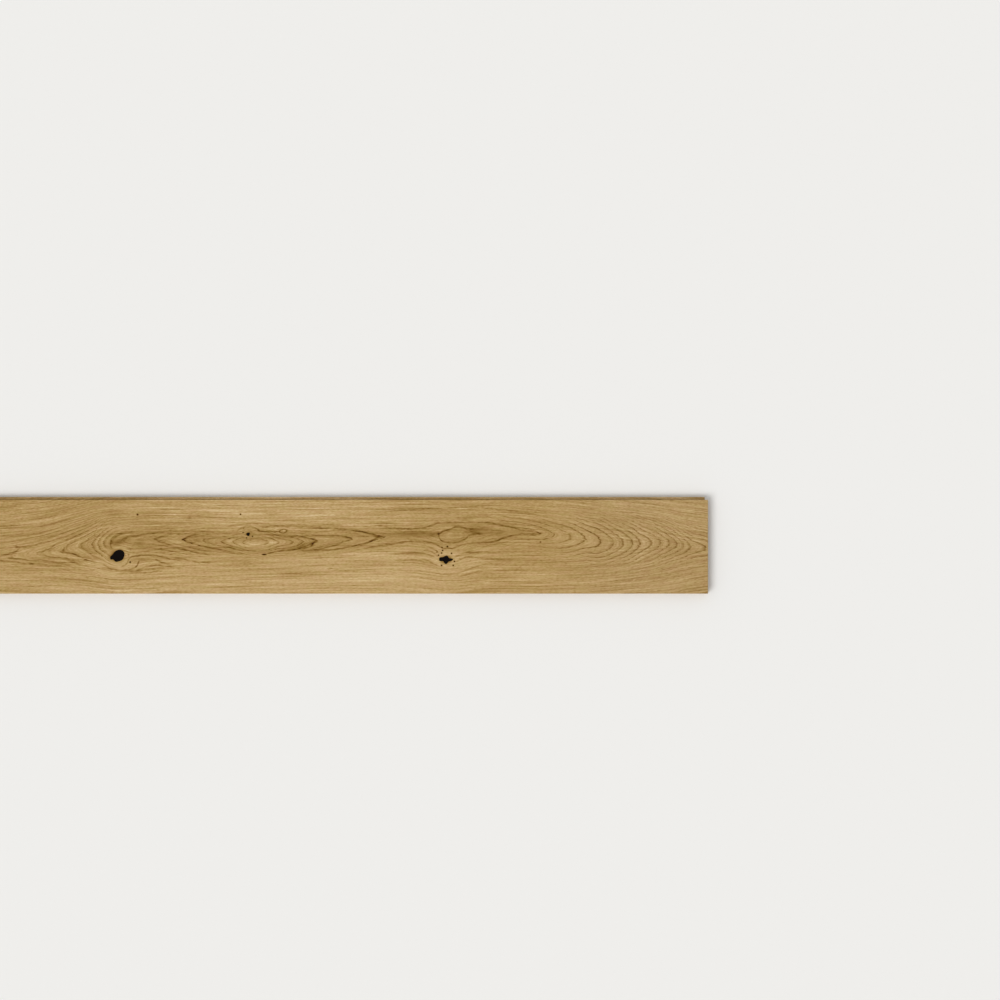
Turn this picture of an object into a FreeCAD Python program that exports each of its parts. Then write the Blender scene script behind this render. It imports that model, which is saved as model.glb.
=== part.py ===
import FreeCAD, Part
import math
import os
import Sketcher
from FreeCAD import Vector

# Wide plank floorboard: one length of solid oak, planed, and moulded on all four edges.
#
# Frame: the origin is at the centre of the underside, below the centre of the face. +X runs
# along the board to the grooved end, +Y across it to the tongued edge, and +Z up out of the face.
# The face is covering size: the tongues stand out past it, and the grooves are cut into it.

SIZES = {
    # The board, measured over its face from shoulder to shoulder
    "board_length": 2200.0,
    "face_width": 180.0,
    "board_thickness": 20.0,
    "face_arris": 0.4,
    "back_arris": 1.2,
    # Tongue: wood left above it, its own thickness, how far it stands out, and its nose chamfer
    "tongue_cover": 7.6,
    "tongue_thickness": 5.0,
    "tongue_reach": 5.5,
    "tongue_nose": 0.8,
    # Groove: room above and below the tongue, room past its tip, and the chamfer of its mouth
    "groove_play": 0.15,
    "groove_room": 0.6,
    "groove_mouth": 0.6,
    # The lower shoulders and lips stand back, so that the joint closes at the face first
    "back_setback": 0.5,
    # Relief grooves milled in the back, with a rib on the centre line
    "relief_count": 6,
    "relief_pitch": 26.0,
    "relief_width": 8.0,
    "relief_depth": 3.0,
    "relief_root": 1.5,
    # Knots, placed from the centre of the face, with the depth each was cleaned out to
    "large_knot_x": -33.8,
    "large_knot_y": -17.6,
    "large_knot_length": 27.6,
    "large_knot_width": 22.4,
    "large_knot_depth": 8.0,
    "star_knot_x": 597.3,
    "star_knot_y": -25.1,
    "star_knot_length": 27.0,
    "star_knot_width": 15.5,
    "star_knot_depth": 6.0,
    "small_knot_x": 217.0,
    "small_knot_y": 24.0,
    "small_knot_length": 6.8,
    "small_knot_width": 6.6,
    "small_knot_depth": 4.0,
    # The filler is scraped off a little below the face
    "filler_drop": 0.2,
    # Pin knots round the three knots, and one short drying check
    "pin_hole_diameter": 2.0,
    "pin_hole_depth": 2.4,
    "check_x": 248.1,
    "check_y": -14.6,
    "check_length": 9.0,
    "check_width": 1.8,
    "check_depth": 2.0,
    # How far a cutter runs past the wood
    "cutter_overrun": 2.0,
}

# Each knot's outline as shares of its half length and half width, anticlockwise from its left tip
KNOT_OUTLINES = {
    "large": [
        (-1.00, -0.48), (-0.85, -0.64), (-0.62, -0.59), (-0.45, -0.78), (-0.22, -1.00),
        (0.18, -0.94), (0.66, -0.70), (0.91, -0.23), (1.00, 0.31), (0.91, 0.69),
        (0.62, 0.99), (-0.09, 0.96), (-0.45, 0.64), (-0.80, 0.09),
    ],
    "star": [
        (-1.00, 0.13), (-0.82, -0.33), (-0.41, -0.38), (-0.23, -0.89), (0.06, -1.00),
        (0.36, -0.43), (0.71, -0.28), (1.00, 0.19), (0.41, 0.49), (0.21, 1.00),
        (-0.11, 1.00), (-0.41, 0.70), (-0.82, 0.65),
    ],
    "small": [
        (-1.00, 0.05), (-0.30, -0.85), (0.50, -1.00), (0.90, 0.10), (0.95, 0.95), (0.10, 0.95),
    ],
}

# Pin holes: the knot each belongs to, and its place along and across from that knot's centre
PIN_HOLES = [
    ("star", 2.4, 25.7),
    ("star", -6.7, 18.2),
    ("star", -8.7, 13.1),
    ("star", 10.4, 12.6),
    ("star", -14.7, 9.0),
    ("star", 15.9, -2.9),
    ("star", 13.6, -10.6),
    ("star", -8.7, -10.6),
    ("small", -9.5, 3.5),
    ("small", -2.7, -6.8),
    ("small", 8.6, -4.0),
    ("large", 24.7, -11.8),
]

# Levels and edges that several outlines share, written as expressions of the sizes
HALF_WIDTH = "Sizes.face_width / 2"
HALF_LENGTH = "Sizes.board_length / 2"
SIDE_TIP = "(Sizes.face_width / 2 + Sizes.tongue_reach)"
END_TIP = "(Sizes.board_length / 2 + Sizes.tongue_reach)"
FACE = "Sizes.board_thickness"
TONGUE_TOP = "(Sizes.board_thickness - Sizes.tongue_cover)"
TONGUE_BOTTOM = "(Sizes.board_thickness - Sizes.tongue_cover - Sizes.tongue_thickness)"
GROOVE_TOP = f"({TONGUE_TOP} + Sizes.groove_play)"
GROOVE_BOTTOM = f"({TONGUE_BOTTOM} - Sizes.groove_play)"
GROOVE_DEPTH = "(Sizes.tongue_reach + Sizes.groove_room)"
ARRIS = "Sizes.face_arris"
BACK_ARRIS = "Sizes.back_arris"
NOSE = "Sizes.tongue_nose"
MOUTH = "Sizes.groove_mouth"
SETBACK = "Sizes.back_setback"
OVERRUN = "Sizes.cutter_overrun"


def make_sheet(doc):
    """The sheet of driving sizes: one named cell for each."""
    sheet = doc.addObject("Spreadsheet::Sheet", "Sizes")
    for row, (name, size) in enumerate(SIZES.items(), start=1):
        sheet.set(f"A{row}", name)
        sheet.set(f"B{row}", str(size))
        sheet.setAlias(f"B{row}", name)
    doc.recompute()
    return sheet


def add_body(doc, name):
    """A new body, labelled with its node's name."""
    body = doc.addObject("PartDesign::Body", name)
    body.Label = name
    return body


def add_sketch(body, name, plane, **offsets):
    """A sketch on one of the body's own planes, moved by the expressions given for x, y and z."""
    sketch = body.newObject("Sketcher::SketchObject", name)
    planes = {feature.Role: feature for feature in body.Origin.OriginFeatures}
    sketch.AttachmentSupport = (planes[plane], "")
    sketch.MapMode = "FlatFace"
    for direction, expression in offsets.items():
        sketch.setExpression(f".AttachmentOffset.Base.{direction}", expression)
    body.Document.recompute()
    return sketch


def place_point(sketch, geometry, point, place):
    """Hold one point of the sketch at a pair of expressions, measured from the sketch's origin."""
    for kind, expression in zip(("DistanceX", "DistanceY"), place):
        distance = float(sketch.evalExpression(expression))
        index = sketch.addConstraint(Sketcher.Constraint(kind, -1, 1, geometry, point, distance))
        sketch.setExpression(f"Constraints[{index}]", expression)


def draw_outline(sketch, corners):
    """A closed outline of straight runs between corners, each a pair of expressions."""
    first = sketch.GeometryCount
    places = [Vector(*[float(sketch.evalExpression(part)) for part in corner]) for corner in corners]
    for start, finish in zip(places, places[1:] + places[:1]):
        sketch.addGeometry(Part.LineSegment(start, finish), False)
    for number, corner in enumerate(corners):
        before = first + (number - 1) % len(corners)
        sketch.addConstraint(Sketcher.Constraint("Coincident", before, 2, first + number, 1))
        place_point(sketch, first + number, 1, corner)


def draw_knot(sketch, sheet, knot):
    """The knot's outline, as one closed smooth curve about the sketch's origin."""
    half_length = sheet.get(f"{knot}_knot_length") / 2
    half_width = sheet.get(f"{knot}_knot_width") / 2
    curve = Part.BSplineCurve()
    curve.interpolate(
        [Vector(along * half_length, across * half_width) for along, across in KNOT_OUTLINES[knot]],
        PeriodicFlag=True,
    )
    sketch.addGeometry(curve, False)


def cut(body, sketch, name, depth=None):
    """Cut the sketch's outlines out of the body: to a depth below the sketch, or right through."""
    before = body.Shape.Volume
    pocket = body.newObject("PartDesign::Pocket", name)
    pocket.Profile = sketch
    if depth is None:
        pocket.Type = "ThroughAll"
        pocket.SideType = "Symmetric"
    else:
        pocket.Type = "Length"
        pocket.setExpression("Length", depth)
    body.Document.recompute()
    if not body.Shape.Volume < before:
        raise RuntimeError(f"{name} cuts nothing")
    return pocket


def mould_blank(body):
    """The board's section, with the side tongue and side groove, run along the whole blank."""
    sketch = add_sketch(body, "board_section", "YZ_Plane", z=f"-{END_TIP}")
    draw_outline(sketch, [
        (f"-({HALF_WIDTH} - {SETBACK} - {BACK_ARRIS})", "0"),
        (f"{HALF_WIDTH} - {SETBACK} - {BACK_ARRIS}", "0"),
        (f"{HALF_WIDTH} - {SETBACK}", BACK_ARRIS),
        (f"{HALF_WIDTH} - {SETBACK}", TONGUE_BOTTOM),
        (f"{SIDE_TIP} - {NOSE}", TONGUE_BOTTOM),
        (SIDE_TIP, f"{TONGUE_BOTTOM} + {NOSE}"),
        (SIDE_TIP, f"{TONGUE_TOP} - {NOSE}"),
        (f"{SIDE_TIP} - {NOSE}", TONGUE_TOP),
        (HALF_WIDTH, TONGUE_TOP),
        (HALF_WIDTH, f"{FACE} - {ARRIS}"),
        (f"{HALF_WIDTH} - {ARRIS}", FACE),
        (f"-({HALF_WIDTH} - {ARRIS})", FACE),
        (f"-{HALF_WIDTH}", f"{FACE} - {ARRIS}"),
        (f"-{HALF_WIDTH}", f"{GROOVE_TOP} + {MOUTH}"),
        (f"-({HALF_WIDTH} - {MOUTH})", GROOVE_TOP),
        (f"-({HALF_WIDTH} - {GROOVE_DEPTH})", GROOVE_TOP),
        (f"-({HALF_WIDTH} - {GROOVE_DEPTH})", GROOVE_BOTTOM),
        (f"-({HALF_WIDTH} - {SETBACK} - {MOUTH})", GROOVE_BOTTOM),
        (f"-({HALF_WIDTH} - {SETBACK})", f"{GROOVE_BOTTOM} - {MOUTH}"),
        (f"-({HALF_WIDTH} - {SETBACK})", BACK_ARRIS),
    ])
    blank = body.newObject("PartDesign::Pad", "moulded_blank")
    blank.Profile = sketch
    blank.setExpression("Length", f"{END_TIP} + {HALF_LENGTH}")
    body.Document.recompute()


def cut_end_tongue(body):
    """The tongue across the left end: the wood above and below it is cut back to the shoulders."""
    sketch = add_sketch(body, "end_tongue_waste", "XZ_Plane")
    draw_outline(sketch, [
        (f"-{HALF_LENGTH}", TONGUE_TOP),
        (f"-({END_TIP} - {NOSE})", TONGUE_TOP),
        (f"-{END_TIP}", f"{TONGUE_TOP} - {NOSE}"),
        (f"-({END_TIP} + {OVERRUN})", f"{TONGUE_TOP} - {NOSE}"),
        (f"-({END_TIP} + {OVERRUN})", f"{FACE} + {OVERRUN}"),
        (f"-({HALF_LENGTH} - {ARRIS})", f"{FACE} + {OVERRUN}"),
        (f"-({HALF_LENGTH} - {ARRIS})", FACE),
        (f"-{HALF_LENGTH}", f"{FACE} - {ARRIS}"),
    ])
    draw_outline(sketch, [
        (f"-({HALF_LENGTH} - {SETBACK})", TONGUE_BOTTOM),
        (f"-({HALF_LENGTH} - {SETBACK})", BACK_ARRIS),
        (f"-({HALF_LENGTH} - {SETBACK} - {BACK_ARRIS})", "0"),
        (f"-({HALF_LENGTH} - {SETBACK} - {BACK_ARRIS})", f"-{OVERRUN}"),
        (f"-({END_TIP} + {OVERRUN})", f"-{OVERRUN}"),
        (f"-({END_TIP} + {OVERRUN})", f"{TONGUE_BOTTOM} + {NOSE}"),
        (f"-{END_TIP}", f"{TONGUE_BOTTOM} + {NOSE}"),
        (f"-({END_TIP} - {NOSE})", TONGUE_BOTTOM),
    ])
    cut(body, sketch, "end_tongue")


def cut_end_groove(body):
    """The groove across the right end, with its set-back lower lip and the arris of the face."""
    sketch = add_sketch(body, "end_groove_waste", "XZ_Plane")
    draw_outline(sketch, [
        (f"{HALF_LENGTH} + {OVERRUN}", f"{GROOVE_TOP} + {MOUTH}"),
        (HALF_LENGTH, f"{GROOVE_TOP} + {MOUTH}"),
        (f"{HALF_LENGTH} - {MOUTH}", GROOVE_TOP),
        (f"{HALF_LENGTH} - {GROOVE_DEPTH}", GROOVE_TOP),
        (f"{HALF_LENGTH} - {GROOVE_DEPTH}", GROOVE_BOTTOM),
        (f"{HALF_LENGTH} - {SETBACK} - {MOUTH}", GROOVE_BOTTOM),
        (f"{HALF_LENGTH} - {SETBACK}", f"{GROOVE_BOTTOM} - {MOUTH}"),
        (f"{HALF_LENGTH} - {SETBACK}", BACK_ARRIS),
        (f"{HALF_LENGTH} - {SETBACK} - {BACK_ARRIS}", "0"),
        (f"{HALF_LENGTH} - {SETBACK} - {BACK_ARRIS}", f"-{OVERRUN}"),
        (f"{HALF_LENGTH} + {OVERRUN}", f"-{OVERRUN}"),
    ])
    draw_outline(sketch, [
        (f"{HALF_LENGTH} - {ARRIS}", f"{FACE} + {OVERRUN}"),
        (f"{HALF_LENGTH} - {ARRIS}", FACE),
        (HALF_LENGTH, f"{FACE} - {ARRIS}"),
        (f"{HALF_LENGTH} + {OVERRUN}", f"{FACE} - {ARRIS}"),
        (f"{HALF_LENGTH} + {OVERRUN}", f"{FACE} + {OVERRUN}"),
    ])
    cut(body, sketch, "end_groove")


def cut_relief_grooves(body):
    """Round-rooted relief grooves along the back, evenly spaced about the centre line."""
    first_groove = "-(Sizes.relief_count - 1) * Sizes.relief_pitch / 2"
    sketch = add_sketch(body, "relief_section", "YZ_Plane", x=first_groove)
    side, floor, root = [
        float(sketch.evalExpression(expression))
        for expression in ("Sizes.relief_width / 2", "Sizes.relief_depth", "Sizes.relief_root")
    ]
    below = -float(sketch.evalExpression(OVERRUN))
    left_centre = Vector(root - side, floor - root)
    right_centre = Vector(side - root, floor - root)
    quarter, half, upright = math.pi / 2, math.pi, Vector(0, 0, 1)
    for piece in (
        Part.LineSegment(Vector(side, below), Vector(side, floor - root)),
        Part.ArcOfCircle(Part.Circle(right_centre, upright, root), 0, quarter),
        Part.LineSegment(Vector(side - root, floor), Vector(root - side, floor)),
        Part.ArcOfCircle(Part.Circle(left_centre, upright, root), quarter, half),
        Part.LineSegment(Vector(-side, floor - root), Vector(-side, below)),
        Part.LineSegment(Vector(-side, below), Vector(side, below)),
    ):
        sketch.addGeometry(piece, False)
    for before, after, kind in (
        (0, 1, "Tangent"), (1, 2, "Tangent"), (2, 3, "Tangent"), (3, 4, "Tangent"),
        (4, 5, "Coincident"), (5, 0, "Coincident"),
    ):
        sketch.addConstraint(Sketcher.Constraint(kind, before, 2, after, 1))
    sketch.addConstraint(Sketcher.Constraint("Equal", 1, 3))
    place_point(sketch, 0, 1, ("Sizes.relief_width / 2", f"-{OVERRUN}"))
    place_point(sketch, 4, 2, ("-Sizes.relief_width / 2", f"-{OVERRUN}"))
    place_point(sketch, 2, 1, ("Sizes.relief_width / 2 - Sizes.relief_root", "Sizes.relief_depth"))
    place_point(sketch, 0, 2, ("Sizes.relief_width / 2", "Sizes.relief_depth - Sizes.relief_root"))
    groove = cut(body, sketch, "relief_groove")
    row = body.newObject("PartDesign::LinearPattern", "relief_grooves")
    row.Originals = [groove]
    row.Direction = (sketch, ["H_Axis"])
    row.setExpression("Length", "(Sizes.relief_count - 1) * Sizes.relief_pitch")
    row.setExpression("Occurrences", "Sizes.relief_count")
    body.Tip = row
    body.Document.recompute()


def cut_knot_pockets(body, sheet):
    """A blind pocket in the face where each dead knot was cleaned out."""
    for knot in KNOT_OUTLINES:
        sketch = add_sketch(
            body, f"{knot}_knot_outline", "XY_Plane",
            x=f"Sizes.{knot}_knot_x", y=f"Sizes.{knot}_knot_y", z=FACE,
        )
        draw_knot(sketch, sheet, knot)
        cut(body, sketch, f"{knot}_knot_pocket", f"Sizes.{knot}_knot_depth")


def cut_pin_holes(body):
    """The pin holes round the knots, in one sketch on the face."""
    sketch = add_sketch(body, "pin_hole_places", "XY_Plane", z=FACE)
    radius = float(sketch.evalExpression("Sizes.pin_hole_diameter / 2"))
    for number, (knot, along, across) in enumerate(PIN_HOLES):
        place = (f"Sizes.{knot}_knot_x + {along}", f"Sizes.{knot}_knot_y + {across}")
        centre = Vector(*[float(sketch.evalExpression(part)) for part in place])
        sketch.addGeometry(Part.Circle(centre, Vector(0, 0, 1), radius), False)
        place_point(sketch, number, 3, place)
        index = sketch.addConstraint(Sketcher.Constraint("Diameter", number, 2 * radius))
        sketch.setExpression(f"Constraints[{index}]", "Sizes.pin_hole_diameter")
    cut(body, sketch, "pin_holes", "Sizes.pin_hole_depth")


def cut_drying_check(body, sheet):
    """One short drying check, a narrow slit along the grain."""
    sketch = add_sketch(body, "check_outline", "XY_Plane", x="Sizes.check_x", y="Sizes.check_y", z=FACE)
    half_length = sheet.get("check_length") / 2
    half_width = sheet.get("check_width") / 2
    sketch.addGeometry(Part.Ellipse(Vector(0, 0, 0), half_length, half_width), False)
    cut(body, sketch, "drying_check", "Sizes.check_depth")


def make_plank(doc, sheet):
    """The oak board itself, one solid."""
    body = add_body(doc, "plank")
    mould_blank(body)
    cut_end_tongue(body)
    cut_end_groove(body)
    cut_relief_grooves(body)
    cut_knot_pockets(body, sheet)
    cut_pin_holes(body)
    cut_drying_check(body, sheet)
    return body


def make_filler(doc, sheet, knot):
    """The dark filler of one knot: it fills the pocket from the floor to just below the face."""
    body = add_body(doc, f"knot_filler_{knot}")
    sketch = add_sketch(
        body, "outline", "XY_Plane",
        x=f"Sizes.{knot}_knot_x", y=f"Sizes.{knot}_knot_y", z=f"{FACE} - Sizes.{knot}_knot_depth",
    )
    draw_knot(sketch, sheet, knot)
    fill = body.newObject("PartDesign::Pad", "fill")
    fill.Profile = sketch
    fill.setExpression("Length", f"Sizes.{knot}_knot_depth - Sizes.filler_drop")
    doc.recompute()
    return body


def check_document(doc, bodies):
    """Stop on a failed feature, or a piece that isn't one valid solid."""
    for feature in doc.Objects:
        if {"Invalid", "Error"} & set(feature.State):
            raise RuntimeError(f"{feature.Name} is {feature.State}")
    for body in bodies:
        shape = body.Shape
        if shape.isNull() or not shape.isValid() or len(shape.Solids) != 1:
            raise RuntimeError(f"{body.Label} isn't one valid solid")
        box = shape.BoundBox
        print(
            f"{body.Label}: {shape.Volume / 1000:.2f} cm3, "
            f"x {box.XMin:.2f} to {box.XMax:.2f}, y {box.YMin:.2f} to {box.YMax:.2f}, "
            f"z {box.ZMin:.2f} to {box.ZMax:.2f}"
        )


def main():
    doc = FreeCAD.newDocument("floorboard")
    sheet = make_sheet(doc)
    bodies = [make_plank(doc, sheet)]
    bodies += [make_filler(doc, sheet, knot) for knot in KNOT_OUTLINES]
    doc.recompute()
    check_document(doc, bodies)
    os.makedirs("parts", exist_ok=True)
    for body in bodies:
        body.Shape.exportStep(f"parts/{body.Label}.step")


main()
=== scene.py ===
import math
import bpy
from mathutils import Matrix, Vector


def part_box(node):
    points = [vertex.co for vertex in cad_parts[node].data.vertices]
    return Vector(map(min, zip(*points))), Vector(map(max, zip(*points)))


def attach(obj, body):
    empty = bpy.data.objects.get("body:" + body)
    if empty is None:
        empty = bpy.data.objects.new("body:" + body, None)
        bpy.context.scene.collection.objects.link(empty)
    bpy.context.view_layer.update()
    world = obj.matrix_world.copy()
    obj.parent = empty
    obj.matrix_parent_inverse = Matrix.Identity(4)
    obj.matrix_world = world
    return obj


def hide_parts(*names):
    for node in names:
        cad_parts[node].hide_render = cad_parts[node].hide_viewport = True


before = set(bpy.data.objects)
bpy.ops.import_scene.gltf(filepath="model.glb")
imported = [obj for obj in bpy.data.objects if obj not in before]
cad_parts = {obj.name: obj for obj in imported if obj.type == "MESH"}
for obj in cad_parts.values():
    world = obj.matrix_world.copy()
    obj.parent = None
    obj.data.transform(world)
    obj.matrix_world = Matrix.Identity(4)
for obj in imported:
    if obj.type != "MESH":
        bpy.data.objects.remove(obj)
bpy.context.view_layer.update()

from types import SimpleNamespace

import bmesh
import bpy
from bpy.props import FloatProperty, FloatVectorProperty, PointerProperty
from bpy.types import Operator, Panel, PropertyGroup

bl_info = {
    "name": "Oak Floorboard",
    "version": (1, 0, 0),
    "blender": (4, 5, 0),
    "location": "View3D > Sidebar > Floorboard",
    "description": "Oils an end-matched oak floorboard, fills its knots and lights it from above",
    "category": "Object",
}

MM = 0.001
FACE_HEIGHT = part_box("plank")[1][2] / MM

# What the picture takes in: its width on the board's face, and the place at its middle, in mm.
PICTURE_WIDTH = 1919.6
PICTURE_MIDDLE = (700.7, 89.8)

# Each knot's filler, how far the grain bends round it, in knot sizes, and how strongly.
KNOTS = (
    ("knot_filler_large", 2.6, 1.0),
    ("knot_filler_star", 2.6, 0.6),
    ("knot_filler_small", 3.0, 0.5),
)
# Eddies in the grain with no knot at the face: centre, half length, half width, reach and strength.
EDDIES = (
    (4.0, -31.0, 9.0, 5.0, 2.4, 0.7),
    (286.0, 30.5, 7.0, 3.4, 2.6, 0.6),
)

# The cathedral figure is a ridge of growth rings that the saw has cut through. Each pair is a place
# along the board, in mm from its middle, and the ring whose tip or trough lies there on the crest.
RING_CREST = (
    (-1105, -7), (-985, -6), (-900, -5), (-780, -4), (-660, -3), (-545, -2), (-430, -1), (-330, 0),
    (-248, 1), (-189, 2), (-140, 3), (-105, 4), (-83, 5), (-72, 6), (-61, 7), (-47, 8), (-23, 9),
    (36, 10), (90, 11), (129, 12), (165, 13), (187, 14), (205, 15), (230, 15.6), (257, 15),
    (278, 14), (305, 13), (323, 12), (350, 11), (416, 10), (478, 9), (524, 8.7), (582, 9),
    (614, 9.4), (643, 9), (701, 8.6), (777, 8), (806, 7), (839, 6), (866, 5), (895, 4), (920, 3),
    (939, 2), (956, 1), (970, 0), (993, -1), (1010, -2), (1027, -3), (1041, -4), (1054, -5),
    (1067, -6), (1097, -7), (1105, -7.4),
)
# How far the crest lies from the centre line at the face, in mm, and how far it leans towards the
# tongued edge for each mm deeper down.
CREST_LEAN = 0.3
CREST_LINE = (
    (-1105, -9), (-835, -3), (-550, -12), (-260, -18), (-190, -13), (-140, -6), (-105, 3), (-72, 6),
    (-30, 10), (36, 15.5), (129, 12), (230, 8.5), (323, 10), (416, 15.5), (478, 19), (524, 23),
    (614, 22), (672, 26.5), (720, 29.5), (778, 25), (839, 19), (866, 14.5), (895, 9), (939, 6.5),
    (1010, 8), (1067, 0), (1100, -3),
)
# How round the tips are, in mm.
TIP_RADIUS = (
    (-1105, 15), (-260, 13), (-160, 10), (-105, 6), (-84, 8), (-48, 12), (-10, 8), (36, 3.5), (90, 4),
    (165, 5), (195, 4.5), (230, 10), (257, 9), (277, 4.5), (323, 6), (415, 5), (478, 6), (528, 12),
    (580, 16), (614, 19), (650, 14), (700, 6), (777, 6), (839, 12), (866, 14), (895, 23), (920, 17),
    (970, 16), (1040, 12), (1100, 14),
)
# How fast the rings fall away from the crest on its upper and its lower side, in rings per mm.
FALL_ABOVE = (
    (-1105, 0.10), (-221, 0.115), (-190, 0.125), (-144, 0.11), (-67, 0.125), (37, 0.14), (125, 0.146),
    (228, 0.24), (280, 0.24), (317, 0.20), (394, 0.09), (480, 0.08), (518, 0.14), (560, 0.11),
    (610, 0.088), (672, 0.06), (700, 0.08), (720, 0.104), (816, 0.115), (893, 0.11), (970, 0.12),
    (1046, 0.156), (1100, 0.15),
)
FALL_BELOW = (
    (-1105, 0.13), (-221, 0.145), (-180, 0.12), (-140, 0.09), (-121, 0.06), (-105, 0.05), (-82, 0.066),
    (-67, 0.105), (-54, 0.13), (37, 0.12), (125, 0.125), (228, 0.26), (257, 0.27), (290, 0.19),
    (317, 0.16), (394, 0.09), (518, 0.105), (610, 0.088), (700, 0.085), (720, 0.11), (740, 0.15),
    (780, 0.14), (816, 0.09), (893, 0.13), (970, 0.125), (1046, 0.146), (1100, 0.15),
)
# How the fall grows with the distance from the crest: the rings stand ever steeper to the face.
STEEPER = ((0, 0), (12, 12), (24, 26), (36, 46), (50, 80), (70, 150), (100, 300))
# How far from the crest the ring lines still show before they fade into plain streaks, in mm.
SHOWN_ABOVE = (
    (-1105, 40), (-260, 40), (-150, 60), (-70, 62), (-20, 40), (60, 30), (300, 28), (420, 24),
    (520, 26), (700, 32), (800, 40), (900, 60), (1100, 60),
)
SHOWN_BELOW = (
    (-1105, 40), (-260, 36), (-150, 46), (-70, 58), (0, 54), (100, 40), (300, 30), (420, 22),
    (520, 24), (600, 30), (700, 28), (800, 34), (900, 54), (1100, 54),
)
# How far the grain rises along the board on each side of the crest, in mm.
GRAIN_ABOVE = (
    (-1105, -15), (-700, 6), (-450, -6), (-259, 0), (-221, 4), (-192, 8), (-163, 15), (-125, 29),
    (-96, 40), (-77, 50), (-57, 55), (-29, 58), (662, 58), (777, 52), (893, 42), (970, 31),
    (1046, 13), (1100, 4),
)
GRAIN_BELOW = (
    (-1105, 10), (-700, -5), (-450, 4), (-259, 0), (-144, -2), (-96, -6), (-67, -12), (-33, -19),
    (10, -17), (58, -12), (125, -8), (317, 0), (528, 4), (566, -2), (595, -8), (624, -6), (662, 2),
    (816, 4), (893, 8), (970, 17), (1046, 31), (1100, 38),
)
# How dark the ring lines are along the board, beside the usual 1.
LINE_DEPTH = (
    (-1105, 0.8), (-300, 0.8), (-240, 0.4), (-140, 0.5), (-105, 0.9), (-67, 0.85), (-48, 0.8),
    (-20, 0.5), (36, 0.7), (90, 1.0), (129, 0.9), (230, 0.8), (280, 0.8), (323, 0.8), (350, 1.2),
    (384, 1.0), (416, 1.2), (478, 1.3), (504, 0.4), (570, 0.25), (650, 0.4), (700, 0.7), (778, 1.1),
    (806, 0.7), (839, 0.8), (866, 1.2), (895, 1.1), (920, 0.65), (956, 0.9), (993, 0.78), (1027, 0.78),
    (1054, 0.8), (1100, 0.85),
)
# From one ring to the next: a hard dark line of late wood, then a soft fade into the pale early wood.
RING_PROFILE = ((-0.09, 0), (0, 0.45), (0.05, 1), (0.12, 0.85), (0.26, 0.3), (0.5, 0.08), (0.88, 0))
# The line's dark part takes this share of a ring, but is only this many mm wide across the tips.
LINE_SHARE = 0.25
TIP_WIDTH = 4.5
# What is left of a line away from the crest: 1 is the distance at which it fades into plain streaks.
RING_FADE = ((0, 1), (0.4, 0.82), (0.8, 0.42), (1.2, 0.14), (2, 0.06))

# How light the wood is along the board above the crest, on it and below it, from 0 to 1.
TONE_ABOVE = (
    (-1105, 0.62), (-259, 0.61), (-60, 0.61), (60, 0.61), (160, 0.68), (400, 0.69), (520, 0.63),
    (700, 0.625), (900, 0.62), (1100, 0.62),
)
TONE_CREST = (
    (-1105, 0.61), (-259, 0.62), (-100, 0.62), (0, 0.58), (120, 0.59), (250, 0.60), (400, 0.60),
    (500, 0.59), (700, 0.59), (850, 0.62), (1100, 0.605),
)
TONE_BELOW = (
    (-1105, 0.63), (-259, 0.64), (0, 0.66), (300, 0.68), (450, 0.685), (600, 0.67), (720, 0.62),
    (1100, 0.615),
)
# The colours of the oiled wood from its darkest to its lightest.
OAK_COLOURS = (
    (0.0, "#431e00"), (0.126, "#5b3a00"), (0.229, "#6e4b04"), (0.366, "#87672d"), (0.469, "#9a7840"),
    (0.60, "#b2925b"), (0.726, "#c8a977"), (0.897, "#e6cea2"),
)
# Streaks along the grain: length and width in mm, how rough they are, a seed and their strength.
# The last ones are short pores, drawn coarser than real ones, which at 0.3 mm are too fine to show.
STREAKS = (
    (300, 12, 1, 0, 0.16), (160, 4.5, 0, 40, 0.10), (100, 2.0, 0, 80, 0.34), (5, 1.9, 0, 300, 0.20),
)
# How strong the streaks are along the board above and below the crest.
STREAKED_ABOVE = ((-1105, 0.9), (-259, 0.9), (-100, 0.9), (300, 0.95), (600, 0.9), (1100, 0.9))
STREAKED_BELOW = ((-1105, 0.8), (-100, 0.8), (300, 0.66), (780, 0.64), (1100, 0.64))
# Single dashes, dark and light, in the same order. They stand only where the noise is this high.
DASHES = ((90, 2.1, 0, 200, -0.15), (90, 2.1, 0, 260, 0.09))
DASH_NOISE = (0.58, 0.78)
# Streaks that follow the rings: their length in mm, how many there are to a ring and their strength.
RING_STREAKS = (50, 6.5, 0.34)
# Pores: length and width in mm, roughness and seed. Real ones are 0.3 mm wide, so they are drawn
# coarser, 1.1 mm wide, for the picture to show them.
PORES = (8, 1.1, 1, 120)
PORE_DARKNESS = 0.10
# Patches a little redder or greener than the rest, in the same order. At 0.5 the hue stays as it is.
TINTS = (30, 7, 1, 160)
TINT_HUES = (0.488, 0.512)

# How the tips are torn, in the same order, and how far the tears reach along the board, in mm.
JAGS = (50, 2.2, 1, 340)
JAG_LENGTH = 8
# How the rings waver, in the same order, and how far on the crest and off it, in rings.
WAVES = (45, 3.5, 2, 0)
WAVE_HEIGHTS = (0.30, 0.25)
# How the late wood turns lighter and darker along a line, in the same order, beside the usual 1.
LINE_CHANGES = (11, 4, 1, 0)
LINE_CHANGE = (0.5, 1.5)
# How far the rings waver along the board, beside the usual 1.
RAGGED = (
    (-1105, 0.6), (-150, 0.6), (-100, 0.45), (0, 0.6), (100, 0.9), (800, 1), (900, 0.9), (950, 0.45),
    (1100, 0.4),
)

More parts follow.
